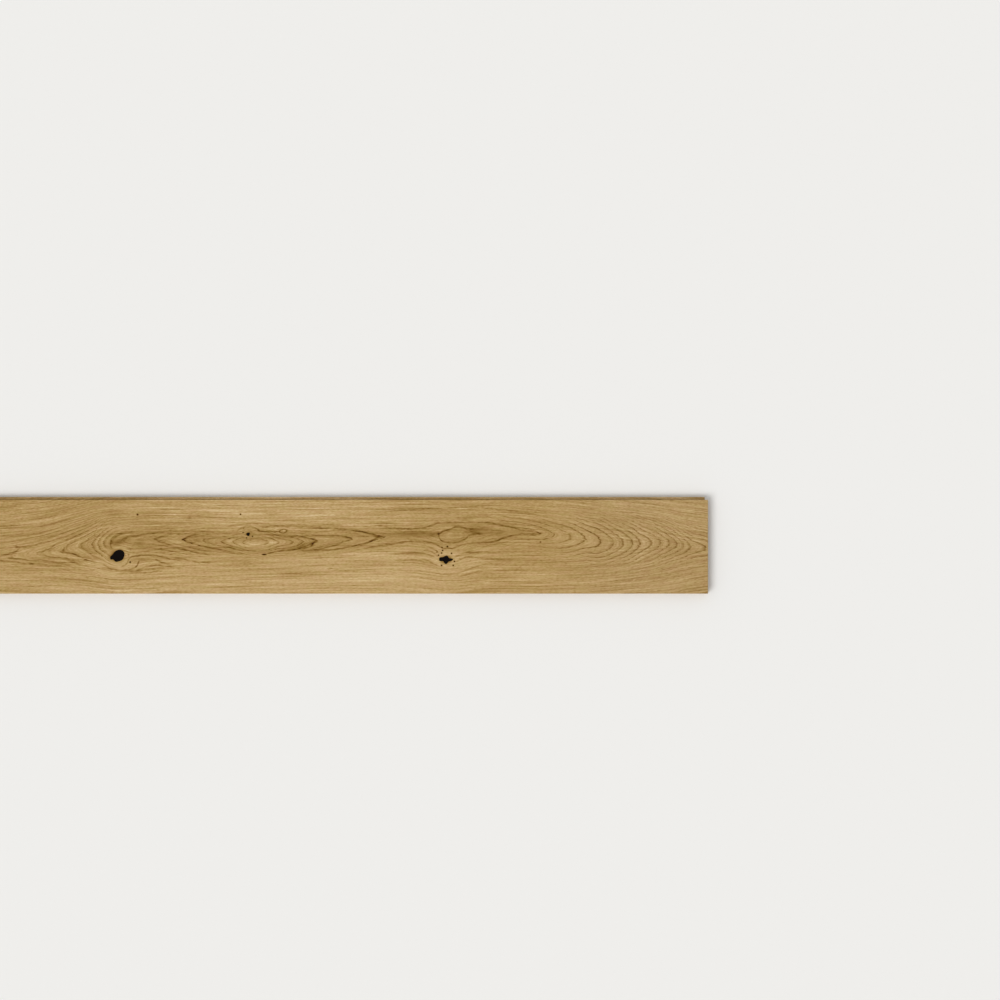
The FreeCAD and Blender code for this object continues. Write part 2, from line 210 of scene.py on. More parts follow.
# Most pin knots have stained the wood alike, at these places, and their holes are darkened further as
# painted shade.
PIN_STAINS_AND_HOLE_SHADE = (
    (599.7, 0.6), (590.6, -6.9), (588.6, -12.0), (607.7, -12.5), (582.6, -16.1), (613.2, -28.0),
    (610.9, -35.7), (588.6, -35.7), (-9.1, -29.4),
)
# Half length, half width, turn and darkness of each: the pin knot's stain together with painted shade in
# its hole.
PIN_STAIN_AND_HOLE_SHADE = (2.9, 2.7, 0, -1.3)
# How deep the stains and shades reach, in mm, so that the painted shade also darkens the floors of the pin
# holes and the drying check.
STAIN_DEPTH = 12
# Stains, flecks and shades in the wood: centre, half length and half width in mm, turn in degrees,
# and how much darker or lighter they are than the wood around them.
FLECKS = (
    # The stain and painted shade of the three pin holes by the small knot, weaker than at the other pin
    # holes.
    (207.5, 27.5, 2.9, 2.7, 0, -0.5),
    (214.3, 17.2, 2.9, 2.7, 0, -0.5),
    (225.6, 20.0, 2.9, 2.7, 0, -0.6),
    (4.8, 61.8, 3.6, 3.4, 0, -1.2),
    (589.4, -1.3, 3.6, 2.6, -30, -0.8),
    (579.8, -10.0, 2.8, 2.4, 0, -0.7),
    (202.6, 62.4, 2.9, 2.9, 0, -1.3),
    (778.4, 9.2, 3.2, 2.8, 0, -0.60),
    (50.0, -3.3, 6.0, 2.8, 0, -0.32),
    (104.7, 55.3, 7.0, 4.5, 0, -0.28),
    (376.3, -41.7, 11.0, 2.4, 0, -0.22),
    (957.9, -63.7, 4.0, 2.6, 20, 0.25),
    (378.0, 65.0, 24.0, 3.5, 0, 0.12),
    (-199.6, -32.0, 10.0, 2.6, -8, -0.28),
    (-226.0, -0.4, 9.0, 3.4, 0, -0.24),
)
# Shades and spots round the large knot and along the tips on both sides of it.
LARGE_KNOT_SHADES = (
    (-12.4, -15.7, 4.5, 4.5, 0, -0.30),
    (-11.5, -4.2, 13.0, 2.6, 0, -0.25),
    (-32.6, 8.3, 13.0, 9.0, 0, -0.16),
    (-26.0, 12.0, 32.0, 15.0, 15, -0.17),
    (8.0, 7.0, 24.0, 10.0, 5, -0.20),
    (-9.5, -29.6, 3.2, 3.0, 0, -0.40),
    (-44.0, 9.0, 26.0, 18.0, 40, -0.10),
    (75.0, 62.0, 62.0, 26.0, 0, 0.12),
    (-205.0, 80.0, 56.0, 12.0, 10, 0.12),
    (51.0, 15.0, 12.0, 3.5, 0, 0.10),
    (182.0, 11.5, 22.0, 6.0, 0, 0.12),
    (-50.0, -42.0, 26.0, 9.0, 0, -0.12),
    (60.0, 53.0, 60.0, 7.0, 0, 0.10),
    (140.0, -8.0, 34.0, 6.0, 0, -0.07),
    (80.0, 8.0, 34.0, 8.0, 0, 0.10),
    (-34.0, 62.0, 40.0, 10.0, 0, -0.12),
    (-44.0, -22.0, 26.0, 8.0, 0, -0.08),
    (14.0, -25.0, 32.0, 9.0, 0, -0.14),
    (120.0, 5.0, 26.0, 6.0, 0, 0.10),
)
# Shades round the small knot and the closed eye beside it, and painted shade in the short drying check
# below it.
SMALL_KNOT_SHADES = (
    (219.0, 25.5, 14.0, 9.0, 0, -0.24),
    (240.0, 33.0, 55.0, 13.0, 0, -0.12),
    (262.0, 62.0, 52.0, 9.0, 0, -0.12),
    (310.0, -53.0, 85.0, 11.0, 0, -0.20),
    (226.0, 3.5, 60.0, 10.0, 0, 0.20),
    (215.0, -32.0, 110.0, 26.0, 0, -0.12),
    (222.0, 12.5, 5.0, 2.6, 0, -0.22),
    (208.4, 35.0, 3.4, 2.6, 20, -0.28),
    (237.0, 32.6, 4.5, 3.0, -20, -0.30),
    (286.0, 30.7, 6.0, 2.8, 0, 0.22),
    (115.0, 13.0, 26.0, 9.0, 0, -0.12),
    # Painted shade in the drying check: the crack is darkened as if it lay in shadow.
    (248.0, -14.8, 7.0, 2.8, 0, -1.15),
    (258.0, -12.5, 14.0, 4.0, 10, -0.14),
)
# The tips farther along: darkest where the saw only grazed the late wood, with paler places between.
DARK_TIPS = (
    (268.0, 8.0, 30.0, 8.0, 0, 0.20),
    (341.0, 6.0, 14.0, 9.0, 30, -0.32),
    (322.0, 2.5, 24.0, 9.0, 10, -0.24),
    (312.0, -2.0, 26.0, 6.0, 8, -0.10),
    (408.0, 17.5, 14.0, 3.4, 0, -0.24),
    (398.4, 10.2, 5.0, 2.4, 50, -0.16),
    (436.0, 29.5, 16.0, 2.6, -10, -0.18),
    (450.2, 10.2, 7.5, 2.6, 35, -0.22),
    (468.0, 19.4, 17.0, 5.0, 0, -0.36),
    (528.0, 25.0, 77.0, 13.0, 0, -0.16),
    (537.0, -12.0, 48.0, 9.0, 0, -0.18),
    (643.0, -10.0, 28.0, 9.0, 0, -0.20),
    (693.0, -42.0, 46.0, 10.0, 0, 0.12),
    (518.0, 43.0, 34.0, 10.0, 0, 0.10),
    (690.0, 60.0, 44.0, 12.0, 0, 0.10),
    (635.0, 53.0, 24.0, 9.0, 0, -0.16),
    (590.0, -23.0, 24.0, 8.0, 0, -0.08),
    (678.0, -68.0, 30.0, 8.0, 0, 0.12),
    (583.0, 23.4, 3.4, 9.5, 8, -0.34),
    (570.0, 23.0, 30.0, 10.0, 0, -0.18),
    (610.0, 43.0, 40.0, 7.0, 0, -0.12),
    (654.0, 40.0, 60.0, 9.0, 0, -0.12),
    (650.8, 29.5, 28.0, 12.0, -5, -0.20),
    (660.0, 27.0, 20.0, 9.0, 0, -0.12),
    (692.0, 26.0, 50.0, 13.0, -3, -0.16),
    (777.5, 26.5, 13.0, 5.0, 0, -0.22),
    (860.0, 6.0, 8.0, 3.0, 30, -0.14),
    (537.5, 70.7, 125.0, 5.0, 0, -0.08),
)
# Short dark lines that double back: how dark, and their places.
HOOKS = (
    (-0.26, (-44, -4), (-47, 2), (-47.4, 9), (-45, 15.5), (-40, 20.5)),
    (-0.45, (1, -39.4), (5, -34.9), (6, -31.1), (8, -27.3)),
    (-0.28, (-27, -38.2), (-19, -35.5), (-14, -30.1), (-13, -25.3), (-10, -21.5)),
    (-0.34, (277, 29.2), (280, 32.6), (286, 34), (292, 32.2), (290, 28.4), (285, 26.1), (279, 27.3),
     (277, 29.2)),
    (-0.26, (339, 2.5), (343, 8.3), (348, 13.1)),
    (-0.18, (-144, -8.4), (-132, -4.2), (-130, 1.5), (-128, 6.3), (-119, 11.1), (-109, 15.9)),
)
HOOK_WIDTH = 2.6
# Single long lines that the ring figure doesn't make by itself: along, across and how dark it is there.
LONG_LINES = (
    # Round the back of the large knot and away from it.
    ((-11, -22.5, 0), (-8, -20.2, 0.16), (0, -18.2, 0.16), (13, -16.7, 0.18), (29, -16.9, 0.18),
     (42, -17.7, 0.2), (58, -20.7, 0.16), (71, -23.8, 0.16), (86, -26.5, 0.12), (100, -29.2, 0)),
    ((-67, -28.2, 0), (-59, -34.9, 0.08), (-52, -39.7, 0.12), (-42, -43.2, 0.14), (-29, -45.3, 0.14),
     (-15, -44.5, 0.14), (-4, -41.8, 0.14), (2, -38.8, 0.1), (6, -34.9, 0)),
    ((2, -44.2, 0), (10, -42.6, 0.14), (19, -39.5, 0.14), (33, -36.1, 0.16), (44, -35.7, 0.18),
     (54, -36.9, 0.18), (67, -38, 0.14), (81, -39.2, 0)),
    ((-25, -47.4, 0), (-10, -46.8, 0.12), (4, -46.5, 0.14), (15, -45.1, 0.14), (29, -43, 0.12),
     (44, -41.5, 0.12), (63, -41.8, 0)),
    ((-38, -52.2, 0), (-29, -51.8, 0.1), (-10, -49.9, 0.12), (10, -50.3, 0.1), (29, -48.9, 0.12),
     (44, -46.8, 0.14), (54, -46.5, 0)),
    ((37, -24.4, 0), (42, -25.9, 0.2), (48, -28.8, 0.2), (56, -31.1, 0.14), (67, -33, 0.1), (79, -32.2, 0)),
    ((67, -18.6, 0), (86, -22.5, 0.1), (106, -26.3, 0.14), (125, -29.9, 0.14), (144, -29.9, 0.12),
     (159, -29.6, 0)),
    # Over the large knot.
    ((-42, 19, 0), (-38, 21.5, 0.12), (-34, 23.5, 0.16), (-27, 25.4, 0.16), (-19, 26.8, 0.14),
     (-10, 28.4, 0.12), (4, 29.5, 0)),
    ((-27, 9, 0), (-25, 13.5, 0.14), (-17, 17.5, 0.14), (-7.6, 19.8, 0.16), (4, 21, 0.16),
     (15.4, 23.6, 0.12), (28.8, 26, 0.12), (48, 28.4, 0.1), (67, 31.3, 0.1), (86, 33, 0)),
    # Both limbs of the first two tips to the right of it.
    ((35, 14.2, 0), (40, 15, 0.14), (48, 18.6, 0.14), (61, 22.4, 0.12), (74, 24.8, 0.1), (92, 26.8, 0)),
    ((35, 14, 0), (40, 12.8, 0.14), (48, 9.6, 0.16), (60, 6, 0.14), (70, 2.5, 0.14), (86, -2.5, 0.1),
     (106, -8, 0.1), (125, -12, 0.08), (150, -16, 0)),
    ((88, 14.6, 0), (94, 15.6, 0.15), (103, 19.4, 0.17), (115, 22.4, 0.13), (134, 26, 0.1), (160, 27.5, 0)),
    ((88, 14.4, 0), (94, 12.6, 0.15), (101, 9.2, 0.17), (115, 5.4, 0.14), (138, -0.4, 0.11),
     (163, -6, 0.1), (192, -12, 0.09), (220, -16, 0)),
    # Over the small knot, to the closed eye, and down to the tip beyond.
    ((173, 39.4, 0), (186, 39.9, 0.1), (198, 42.2, 0.12), (213, 43.8, 0.12), (236, 44, 0.12),
     (255, 42.6, 0.08), (275, 42.2, 0.1), (317, 41.8, 0.1), (374, 42.2, 0.12), (403, 41.8, 0)),
    ((234, 39.9, 0), (248, 38.4, 0.12), (259, 38, 0.14), (273, 39.5, 0.14), (288, 38.8, 0.14),
     (311, 38, 0.12), (336, 37.2, 0.14), (365, 34.9, 0.12), (394, 33.6, 0.12), (417, 31.9, 0.12),
     (436, 29.4, 0.14), (455, 24.6, 0.14), (470, 19.8, 0)),
    ((194, 28.4, 0), (200, 33, 0.12), (207, 37, 0.14), (216, 39, 0.12), (225, 38, 0.14),
     (232, 35.3, 0.18), (237, 31.1, 0.26), (244, 29.4, 0.16), (259, 29.2, 0.16), (271, 29.2, 0.16),
     (278, 29.8, 0)),
    ((225, 22.3, 0), (240, 22.8, 0.1), (259, 23.4, 0.14), (278, 22.3, 0.12), (298, 20.3, 0.12),
     (317, 19.6, 0.12), (330, 16.9, 0.16), (340, 15.7, 0.2), (349, 13.8, 0)),
    ((252, -12.9, 0), (263, -10.7, 0.14), (278, -8.1, 0.14), (294, -6.7, 0.15), (309, -5.4, 0.14),
     (323, -3.1, 0.12), (334, -0.4, 0.12), (340, 3.5, 0.14), (344, 7.3, 0)),
    ((167, 2.5, 0), (179, 0.6, 0.12), (190, -3.3, 0.14), (202, -6.1, 0.1), (221, -7.7, 0.1),
     (244, -8.6, 0.1), (263, -6.1, 0)),
    ((313, -8.6, 0), (328, -7.3, 0.14), (344, -5.8, 0.16), (359, -3.3, 0.16), (374, 0.4, 0.16),
     (386, 3.5, 0.14), (395, 6.3, 0.1), (399, 9.2, 0)),
    ((317, -9, 0), (355, -6.5, 0.1), (394, -4.2, 0.12), (422, 2.5, 0.12), (442, 6.3, 0.14),
     (450, 9.2, 0.22), (456, 12.1, 0.2), (463, 16.5, 0.14), (470, 19, 0)),
    # Both sides of the neck, the oval above the star knot and the dark wedge behind it.
    ((455, 41.3, 0), (470, 40.7, 0.14), (486, 37.2, 0.14), (499, 36.1, 0.14), (513, 34.6, 0.2),
     (528, 34.2, 0.2), (543, 34.9, 0.18), (557, 37, 0.18), (568, 40.7, 0.18), (578, 44.2, 0.18),
     (589, 46.5, 0.14), (609, 47.6, 0.12), (628, 47.6, 0.1), (658, 47, 0.1), (676, 47.2, 0.14),
     (693, 43.8, 0.16), (710, 39.9, 0.16), (729, 36.1, 0.18), (743, 32.2, 0.18), (758, 30.3, 0.14),
     (774, 29.2, 0)),
    ((443, -2.3, 0), (461, 0, 0.14), (474, 2.5, 0.14), (490, 4.6, 0.14), (505, 7.3, 0.16),
     (518, 9.2, 0.2), (526, 10.7, 0.18), (539, 10.7, 0.12), (555, 8.8, 0.14), (568, 8.1, 0.14),
     (578, 4.6, 0.16), (586, 0, 0.18), (595, -3.1, 0.18), (607, -3.1, 0.18), (618, 0, 0.16),
     (630, 4.2, 0.14), (645, 6.5, 0.12), (666, 8.1, 0.14), (683, 9.4, 0.16), (697, 12.5, 0.26),
     (706, 16.5, 0.26), (716, 19.2, 0.16), (728, 22.7, 0.18), (743, 24.6, 0.2), (758, 24.2, 0.2),
     (774, 25.3, 0)),
    ((577, 24.6, 0), (582, 25, 0.2), (586, 26.4, 0.24), (591, 30, 0.24), (600, 32, 0.2), (608, 35, 0.2),
     (616, 38, 0.24), (628, 37.4, 0.26), (639, 34.8, 0.22), (652, 34.2, 0.24), (666, 33.8, 0.14),
     (682, 32.2, 0)),
    ((582, 20, 0), (586, 14.2, 0.24), (593, 9.6, 0.2), (605, 7.7, 0.14), (618, 8.8, 0.14),
     (630, 12.7, 0.16), (637, 16.5, 0.18), (640, 19.8, 0)),
    ((628, 30, 0), (637, 29.4, 0.16), (650, 29.4, 0.16), (658, 29.2, 0.1), (668, 29, 0)),
    ((636, 20.5, 0), (642, 22.6, 0.12), (650, 24.4, 0.16), (661, 24.8, 0.2), (669, 24.6, 0)),
    ((460, 66, 0), (509, 69.5, 0.08), (557, 73, 0.1), (605, 74.5, 0.12), (653, 75.5, 0.12),
     (701, 71.5, 0.1), (739, 68, 0.08), (780, 63, 0)),
    # Beside, above and below the star knot.
    ((484, -15.2, 0), (493, -14.8, 0.08), (513, -12.9, 0.1), (532, -11.9, 0.1), (555, -12.9, 0.12),
     (570, -17.7, 0.12), (579, -20.5, 0)),
    ((500, -25.9, 0), (509, -25.7, 0.1), (519, -25.3, 0.11), (534, -24.4, 0.11), (555, -25.3, 0.12),
     (566, -28.2, 0.12), (574, -33, 0.12), (585, -36.9, 0)),
    ((546, 1, 0), (561, 0.5, 0.1), (572, -4, 0.12), (582, -10.6, 0.12), (586, -16, 0)),
    ((549, -5, 0), (566, -8.1, 0.12), (576, -13.8, 0.14), (582, -19.6, 0)),
    ((610, -30.5, 0), (618, -27.4, 0.12), (628, -23.4, 0.14), (639, -19.6, 0.16), (662, -21.5, 0.12),
     (701, -24.4, 0.1), (730, -25.3, 0)),
    ((608, -22.5, 0), (614, -19.6, 0.1), (628, -13.8, 0.1), (643, -10.9, 0.12), (672, -10.9, 0.1),
     (720, -11.9, 0)),
    ((480, -43.5, 0), (499, -44.5, 0.06), (528, -46.5, 0.08), (557, -47.4, 0.08), (576, -50.3, 0.12),
     (595, -52.2, 0.14), (616, -51.3, 0.12), (635, -45.5, 0.1), (653, -38.8, 0.1), (682, -33, 0.08),
     (720, -34.9, 0)),
    ((618, -58.5, 0), (628, -56.1, 0.1), (647, -50.3, 0.12), (666, -45.5, 0.1), (685, -44.5, 0.08),
     (720, -45, 0)),
    # The ragged first tips on the left and the lines below them.
    ((-300, -22, 0), (-259, -18, 0.12), (-250, -16.1, 0.14), (-240, -12.7, 0.12), (-230, -9.6, 0.14),
     (-225, -6.5, 0.14), (-221, -3.5, 0)),
    ((-232, -1.2, 0), (-226, -1.3, 0.16), (-217, -0.6, 0.16), (-202, 0.8, 0.12), (-192, 3.1, 0.12),
     (-178, 7.3, 0.1), (-163, 10.6, 0.1), (-150, 15, 0.08), (-136, 19.8, 0)),
    ((-253, -19.2, 0), (-236, -22.5, 0.12), (-221, -23.4, 0.16), (-209, -24.6, 0.13), (-202, -26.1, 0.13),
     (-182, -25.9, 0.11), (-163, -28, 0.11), (-148, -30.3, 0.14), (-132, -30.3, 0.12),
     (-113, -29.2, 0.1), (-90, -29.2, 0)),
    ((-300, -24, 0), (-259, -26.5, 0.1), (-240, -28.4, 0.12), (-225, -29.9, 0.12), (-211, -31.9, 0.13),
     (-198, -32.2, 0.18), (-188, -33, 0.1), (-171, -35.3, 0.11), (-152, -36.5, 0.14),
     (-136, -36.3, 0.1), (-115, -35.9, 0)),
    ((-192, -13.1, 0), (-182, -11.1, 0.09), (-171, -6.1, 0.1), (-163, -3.5, 0.12), (-157, 1.5, 0.1),
     (-148, 7.7, 0.1), (-134, 13.8, 0.1), (-115, 20.7, 0.08), (-96, 26.5, 0)),
    ((-190, -13.8, 0), (-171, -17.7, 0.1), (-155, -20, 0.11), (-136, -20.5, 0.12), (-125, -24.2, 0.14),
     (-106, -25.9, 0.11), (-86, -26.5, 0.1), (-71, -28.2, 0)),
    ((-146, -8.1, 0), (-140, -10.6, 0.12), (-125, -13.1, 0.12), (-113, -15.7, 0.12), (-98, -20, 0.1),
     (-82, -22.7, 0.1), (-67, -25.3, 0)),
)
# A drawn line fades out this far from its middle, in mm.
LONG_LINE_REACH = 3.0
# How it wobbles: length and width of the waves in mm, roughness, seed, and how far from side to side.
WOBBLES = (9, 6, 2, 0)
WOBBLE_REACH = 3.0
# The dark rim and the pale collar of a knot: distance in knot sizes, and how much lighter it is there.
KNOT_COLLAR = (
    (0, -0.3), (0.7, -0.3), (0.95, -0.10), (1.15, -0.03), (1.35, 0.03), (1.6, 0.03), (2.2, 0),
)
# On sawn ends, the width and height of the rays and how far apart the pores are, in mm. All of them
# are drawn coarser than real ones.
RAY_SIZE = (0.8, 12)
END_PORES_APART = 1.1
# The pits in the knot filler are this many mm apart.
PITS_APART = 1.4

# How the broad main light is turned about X and Y, in degrees: it comes in over the tongued end.
SUN_TURN = (25, -28)
# The floor's width in m: it reaches far past the picture.
FLOOR_SIZE = 30


def linear(code):
    """Turn an sRGB hex colour into linear red, green, blue and alpha."""
    levels = [int(code[start:start + 2], 16) / 255 for start in (1, 3, 5)]
    return tuple(v / 12.92 if v <= 0.04045 else ((v + 0.055) / 1.055) ** 2.4 for v in levels) + (1.0,)


def add(tree, kind, inputs=(), output=0, curve=(), stops=(), **settings):
    """Add a node with its settings, set or link its inputs, and give back one of its outputs.

    Inputs go by name or number. A Map Range has its value at 0, what it maps from at 1 and 2, and what
    it maps to at 3 and 4. A Mix has its factor at 0, its numbers at 2 and 3, and its colours at 6 and 7.
    """
    node = tree.nodes.new("ShaderNode" + kind)
    for name, value in settings.items():
        setattr(node, name, value)
    if curve:
        node.mapping.use_clip = False
        node.mapping.extend = "HORIZONTAL"
        points = node.mapping.curves[0].points
        while len(points) < len(curve):
            points.new(0, 0)
        for point, place in zip(points, curve):
            point.location = place
            point.handle_type = "AUTO_CLAMPED"
        node.mapping.update()
    if stops:
        elements = node.color_ramp.elements
        while len(elements) < len(stops):
            elements.new(0.5)
        for element, (place, code) in zip(elements, stops):
            element.position = place
            element.color = linear(code)
    for socket, value in inputs.items() if isinstance(inputs, dict) else enumerate(inputs):
        if isinstance(value, bpy.types.NodeSocket):
            tree.links.new(value, node.inputs[socket])
        else:
            node.inputs[socket].default_value = value
    return node.outputs[output] if node.outputs else None


def new_material(name):
    """Start a material with an empty node tree."""
    material = bpy.data.materials.new(name)
    material.use_nodes = True
    material.node_tree.nodes.clear()
    return material, material.node_tree


def knot_bends():
    """Centre, half length, half width, reach and strength of all that bends the grain, in mm."""
    bends = []
    for node, reach, strength in KNOTS:
        low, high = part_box(node)
        bends.append((
            (low[0] + high[0]) / 2 / MM, (low[1] + high[1]) / 2 / MM,
            (high[0] - low[0]) / 2 / MM, (high[1] - low[1]) / 2 / MM, reach, strength,
        ))
    return (*bends, *EDDIES)


def bend_round_knots(tree, place):
    """Where a point would lie in straight grain, and how many knot sizes it is from each knot."""
    rims = []
    for x, y, length, width, reach, strength in knot_bends():
        offset = add(tree, "VectorMath", (place, (x, y, 0)), operation="SUBTRACT")
        offset = add(tree, "VectorMath", (offset, (1, 1, 0)), operation="MULTIPLY")
        share = add(tree, "VectorMath", (offset, (1 / length, 1 / width, 0)), operation="MULTIPLY")
        rim = add(tree, "VectorMath", (share,), output=1, operation="LENGTH")
        rims.append(rim)
        pull = add(tree, "MapRange", {0: rim, 1: 0.0, 2: reach, 3: strength, 4: 0.0},
                   interpolation_type="SMOOTHSTEP")
        shift = add(tree, "VectorMath", {0: offset, "Scale": pull}, operation="SCALE")
        place = add(tree, "VectorMath", (place, shift), operation="SUBTRACT")
    return place, rims[:len(KNOTS)]


def streak_noise(tree, place, length, width, detail, seed):
    """Noise drawn out along the grain, from 0 to 1."""
    place = add(tree, "VectorMath", (place, (1 / length, 1 / width, 1 / width), (seed, seed, 0)),
                operation="MULTIPLY_ADD")
    return add(tree, "TexNoise", {"Vector": place, "Scale": 1.0, "Detail": float(detail)})


def vary_line(tree, place):
    """How the late wood turns darker and lighter along a line, beside the usual 1."""
    change = streak_noise(tree, place, *LINE_CHANGES)
    return add(tree, "MapRange", {0: change, 1: 0.3, 2: 0.7, 3: LINE_CHANGE[0], 4: LINE_CHANGE[1]})


def map_board(tree):
    """Where a point lies on the board, in mm, and which way its surface looks."""
    coordinates = add(tree, "TexCoord", output="Object").node.outputs
    real = add(tree, "VectorMath", {0: coordinates["Object"], "Scale": 1 / MM}, operation="SCALE")
    place, rims = bend_round_knots(tree, real)
    x, y, z = add(tree, "SeparateXYZ", (place,)).node.outputs
    depth = add(tree, "Math", (FACE_HEIGHT, z), operation="SUBTRACT")
    crest = add(tree, "FloatCurve", {"Value": x}, curve=CREST_LINE)
    across = add(tree, "Math", (y, crest), operation="SUBTRACT")
    across = add(tree, "Math", (depth, -CREST_LEAN, across), operation="MULTIPLY_ADD")
    facing = add(tree, "SeparateXYZ", (coordinates["Normal"],)).node.outputs
    endwise = add(tree, "Math", (facing[0],), operation="ABSOLUTE")
    return SimpleNamespace(
        real=real, place=place, rims=rims, x=x, y=y, z=z, depth=depth, across=across,
        away=add(tree, "Math", (across,), operation="ABSOLUTE"),
        side=add(tree, "MapRange", {0: across, 1: -3.0, 2: 3.0}, interpolation_type="SMOOTHSTEP"),
        end=add(tree, "MapRange", {0: endwise, 1: 0.6, 2: 0.8}),
        oiled=add(tree, "MapRange", {0: facing[2], 1: 0.3, 2: 0.6}),
        varied=vary_line(tree, real),
    )


def by_side(tree, board, below, above):
    """A value along the board that differs above and below the crest."""
    ends = [add(tree, "FloatCurve", {"Value": board.x}, curve=curve) for curve in (below, above)]
    return add(tree, "Mix", {0: board.side, 2: ends[0], 3: ends[1]})


def count_rings(tree, board, ring_width):
    """The growth ring at a point: the count rises along the board and falls away beside the crest."""
    # The tips are ragged, because the saw tears the pores open along the grain there.
    jag = streak_noise(tree, board.place, *JAGS)
    jag = add(tree, "Math", (jag, 0.5), operation="SUBTRACT")
    x = add(tree, "Math", (jag, JAG_LENGTH, board.x), operation="MULTIPLY_ADD")
    radius = add(tree, "FloatCurve", {"Value": x}, curve=TIP_RADIUS)
    radius = add(tree, "Math", (radius, board.depth), operation="ADD")
    corner = add(tree, "CombineXYZ", (board.across, radius))
    limb = add(tree, "VectorMath", (corner,), output=1, operation="LENGTH")
    limb = add(tree, "Math", (limb, radius), operation="SUBTRACT")
    fallen = add(tree, "FloatCurve", {"Value": limb}, curve=STEEPER)
    fall = by_side(tree, board, FALL_BELOW, FALL_ABOVE)
    fallen = add(tree, "Math", (fallen, fall), operation="MULTIPLY")
    crest = add(tree, "FloatCurve", {"Value": x}, curve=RING_CREST)
    ring = add(tree, "Math", (crest, fallen), operation="SUBTRACT")
    ring = add(tree, "Math", (board.depth, -1 / ring_width, ring), operation="MULTIPLY_ADD")
    # The rings waver a little, most where the face grazes them.
    wave = streak_noise(tree, board.place, *WAVES)
    wave = add(tree, "Math", (wave, 0.5), operation="SUBTRACT")
    height = add(tree, "MapRange", {0: limb, 1: 0.0, 2: 14.0, 3: WAVE_HEIGHTS[0], 4: WAVE_HEIGHTS[1]})
    ragged = add(tree, "FloatCurve", {"Value": board.x}, curve=RAGGED)
    height = add(tree, "Math", (height, ragged), operation="MULTIPLY")
    return add(tree, "Math", (wave, height, ring), operation="MULTIPLY_ADD"), limb


def tip_spacing():
    """How far apart the rings cross the crest, along the board, in line widths."""
    spacing = []
    for (x, ring), (next_x, next_ring) in zip(RING_CREST, RING_CREST[1:]):
        apart = (next_x - x) / abs(next_ring - ring)
        spacing.append(((x + next_x) / 2, max(1.0, apart * LINE_SHARE / TIP_WIDTH)))
    return spacing


def draw_rings(tree, board, ring, limb):
    """How dark the ring line is at a point, and how much of the ring figure shows there, from 0 to 1."""
    onset = -RING_PROFILE[0][0]
    phase = add(tree, "Math", (ring, onset), operation="ADD")
    phase = add(tree, "Math", (phase,), operation="FRACT")
    phase = add(tree, "Math", (phase, onset), operation="SUBTRACT")
    # The rings lie far apart at the tips, so a line is a smaller share of a ring there.
    sharp = add(tree, "FloatCurve", {"Value": board.x}, curve=tip_spacing())
    sharp = add(tree, "MapRange", {0: limb, 1: 2.0, 2: 16.0, 3: sharp, 4: 1.0})
    line = add(tree, "Math", (phase, sharp), operation="MULTIPLY")
    line = add(tree, "FloatCurve", {"Value": line}, curve=RING_PROFILE)
    shown = by_side(tree, board, SHOWN_BELOW, SHOWN_ABOVE)
    share = add(tree, "Math", (board.away, shown), operation="DIVIDE")
    fade = add(tree, "FloatCurve", {"Value": share}, curve=RING_FADE)
    depth = add(tree, "FloatCurve", {"Value": board.x}, curve=LINE_DEPTH)
    for factor in (fade, board.varied, depth):
        line = add(tree, "Math", (line, factor), operation="MULTIPLY")
    zone = add(tree, "MapRange", {0: share, 1: 0.7, 2: 1.4, 3: 1.0, 4: 0.0},
               interpolation_type="SMOOTHSTEP")
    return line, zone


def run_grain(tree, board):
    """A point's place in straight grain: the fibres sweep past the crest on both sides of it."""
    rise = by_side(tree, board, GRAIN_BELOW, GRAIN_ABOVE)
    damp = add(tree, "MapRange", {0: board.away, 1: 30.0, 2: 95.0, 3: 1.0, 4: 0.5})
    rise = add(tree, "Math", (rise, damp), operation="MULTIPLY")
    across = add(tree, "Math", (board.y, rise), operation="SUBTRACT")
    return add(tree, "CombineXYZ", (board.x, across, board.z))


def draw_streaks(tree, board, grain, ring, zone):
    """What the fibres add to the tone: streaks along the grain, and near the crest along the rings."""
    straight = 0.0
    for *noise, strength in STREAKS:
        streak = streak_noise(tree, grain, *noise)
        streak = add(tree, "Math", (streak, 0.5), operation="SUBTRACT")
        straight = add(tree, "Math", (streak, strength, straight), operation="MULTIPLY_ADD")
    for *noise, strength in DASHES:
        dash = streak_noise(tree, grain, *noise)
        dash = add(tree, "MapRange", {0: dash, 1: DASH_NOISE[0], 2: DASH_NOISE[1]},
                   interpolation_type="SMOOTHSTEP")
        straight = add(tree, "Math", (dash, strength, straight), operation="MULTIPLY_ADD")
    calm = add(tree, "MapRange", {0: zone, 3: 1.0, 4: 0.7})
    streaked = by_side(tree, board, STREAKED_BELOW, STREAKED_ABOVE)
    for factor in (calm, streaked):
        straight = add(tree, "Math", (straight, factor), operation="MULTIPLY")
    length, count, strength = RING_STREAKS
    along = add(tree, "Math", (board.x, 1 / length), operation="MULTIPLY")
    finer = add(tree, "Math", (ring, count), operation="MULTIPLY")
    follow = add(tree, "CombineXYZ", (along, finer, 0.0))
    follow = add(tree, "TexNoise", {"Vector": follow, "Scale": 1.0, "Detail": 2.0})
    follow = add(tree, "Math", (follow, 0.5), operation="SUBTRACT")
    follow = add(tree, "Math", (follow, zone), operation="MULTIPLY")
    return add(tree, "Math", (follow, strength, straight), operation="MULTIPLY_ADD")


def ground_tone(tree, board):
    """How light the wood is before its lines and streaks."""
    crest = add(tree, "FloatCurve", {"Value": board.x}, curve=TONE_CREST)
    outer = by_side(tree, board, TONE_BELOW, TONE_ABOVE)
    off_crest = add(tree, "MapRange", {0: board.away, 1: 14.0, 2: 34.0}, interpolation_type="SMOOTHSTEP")
    return add(tree, "Mix", {0: off_crest, 2: crest, 3: outer})


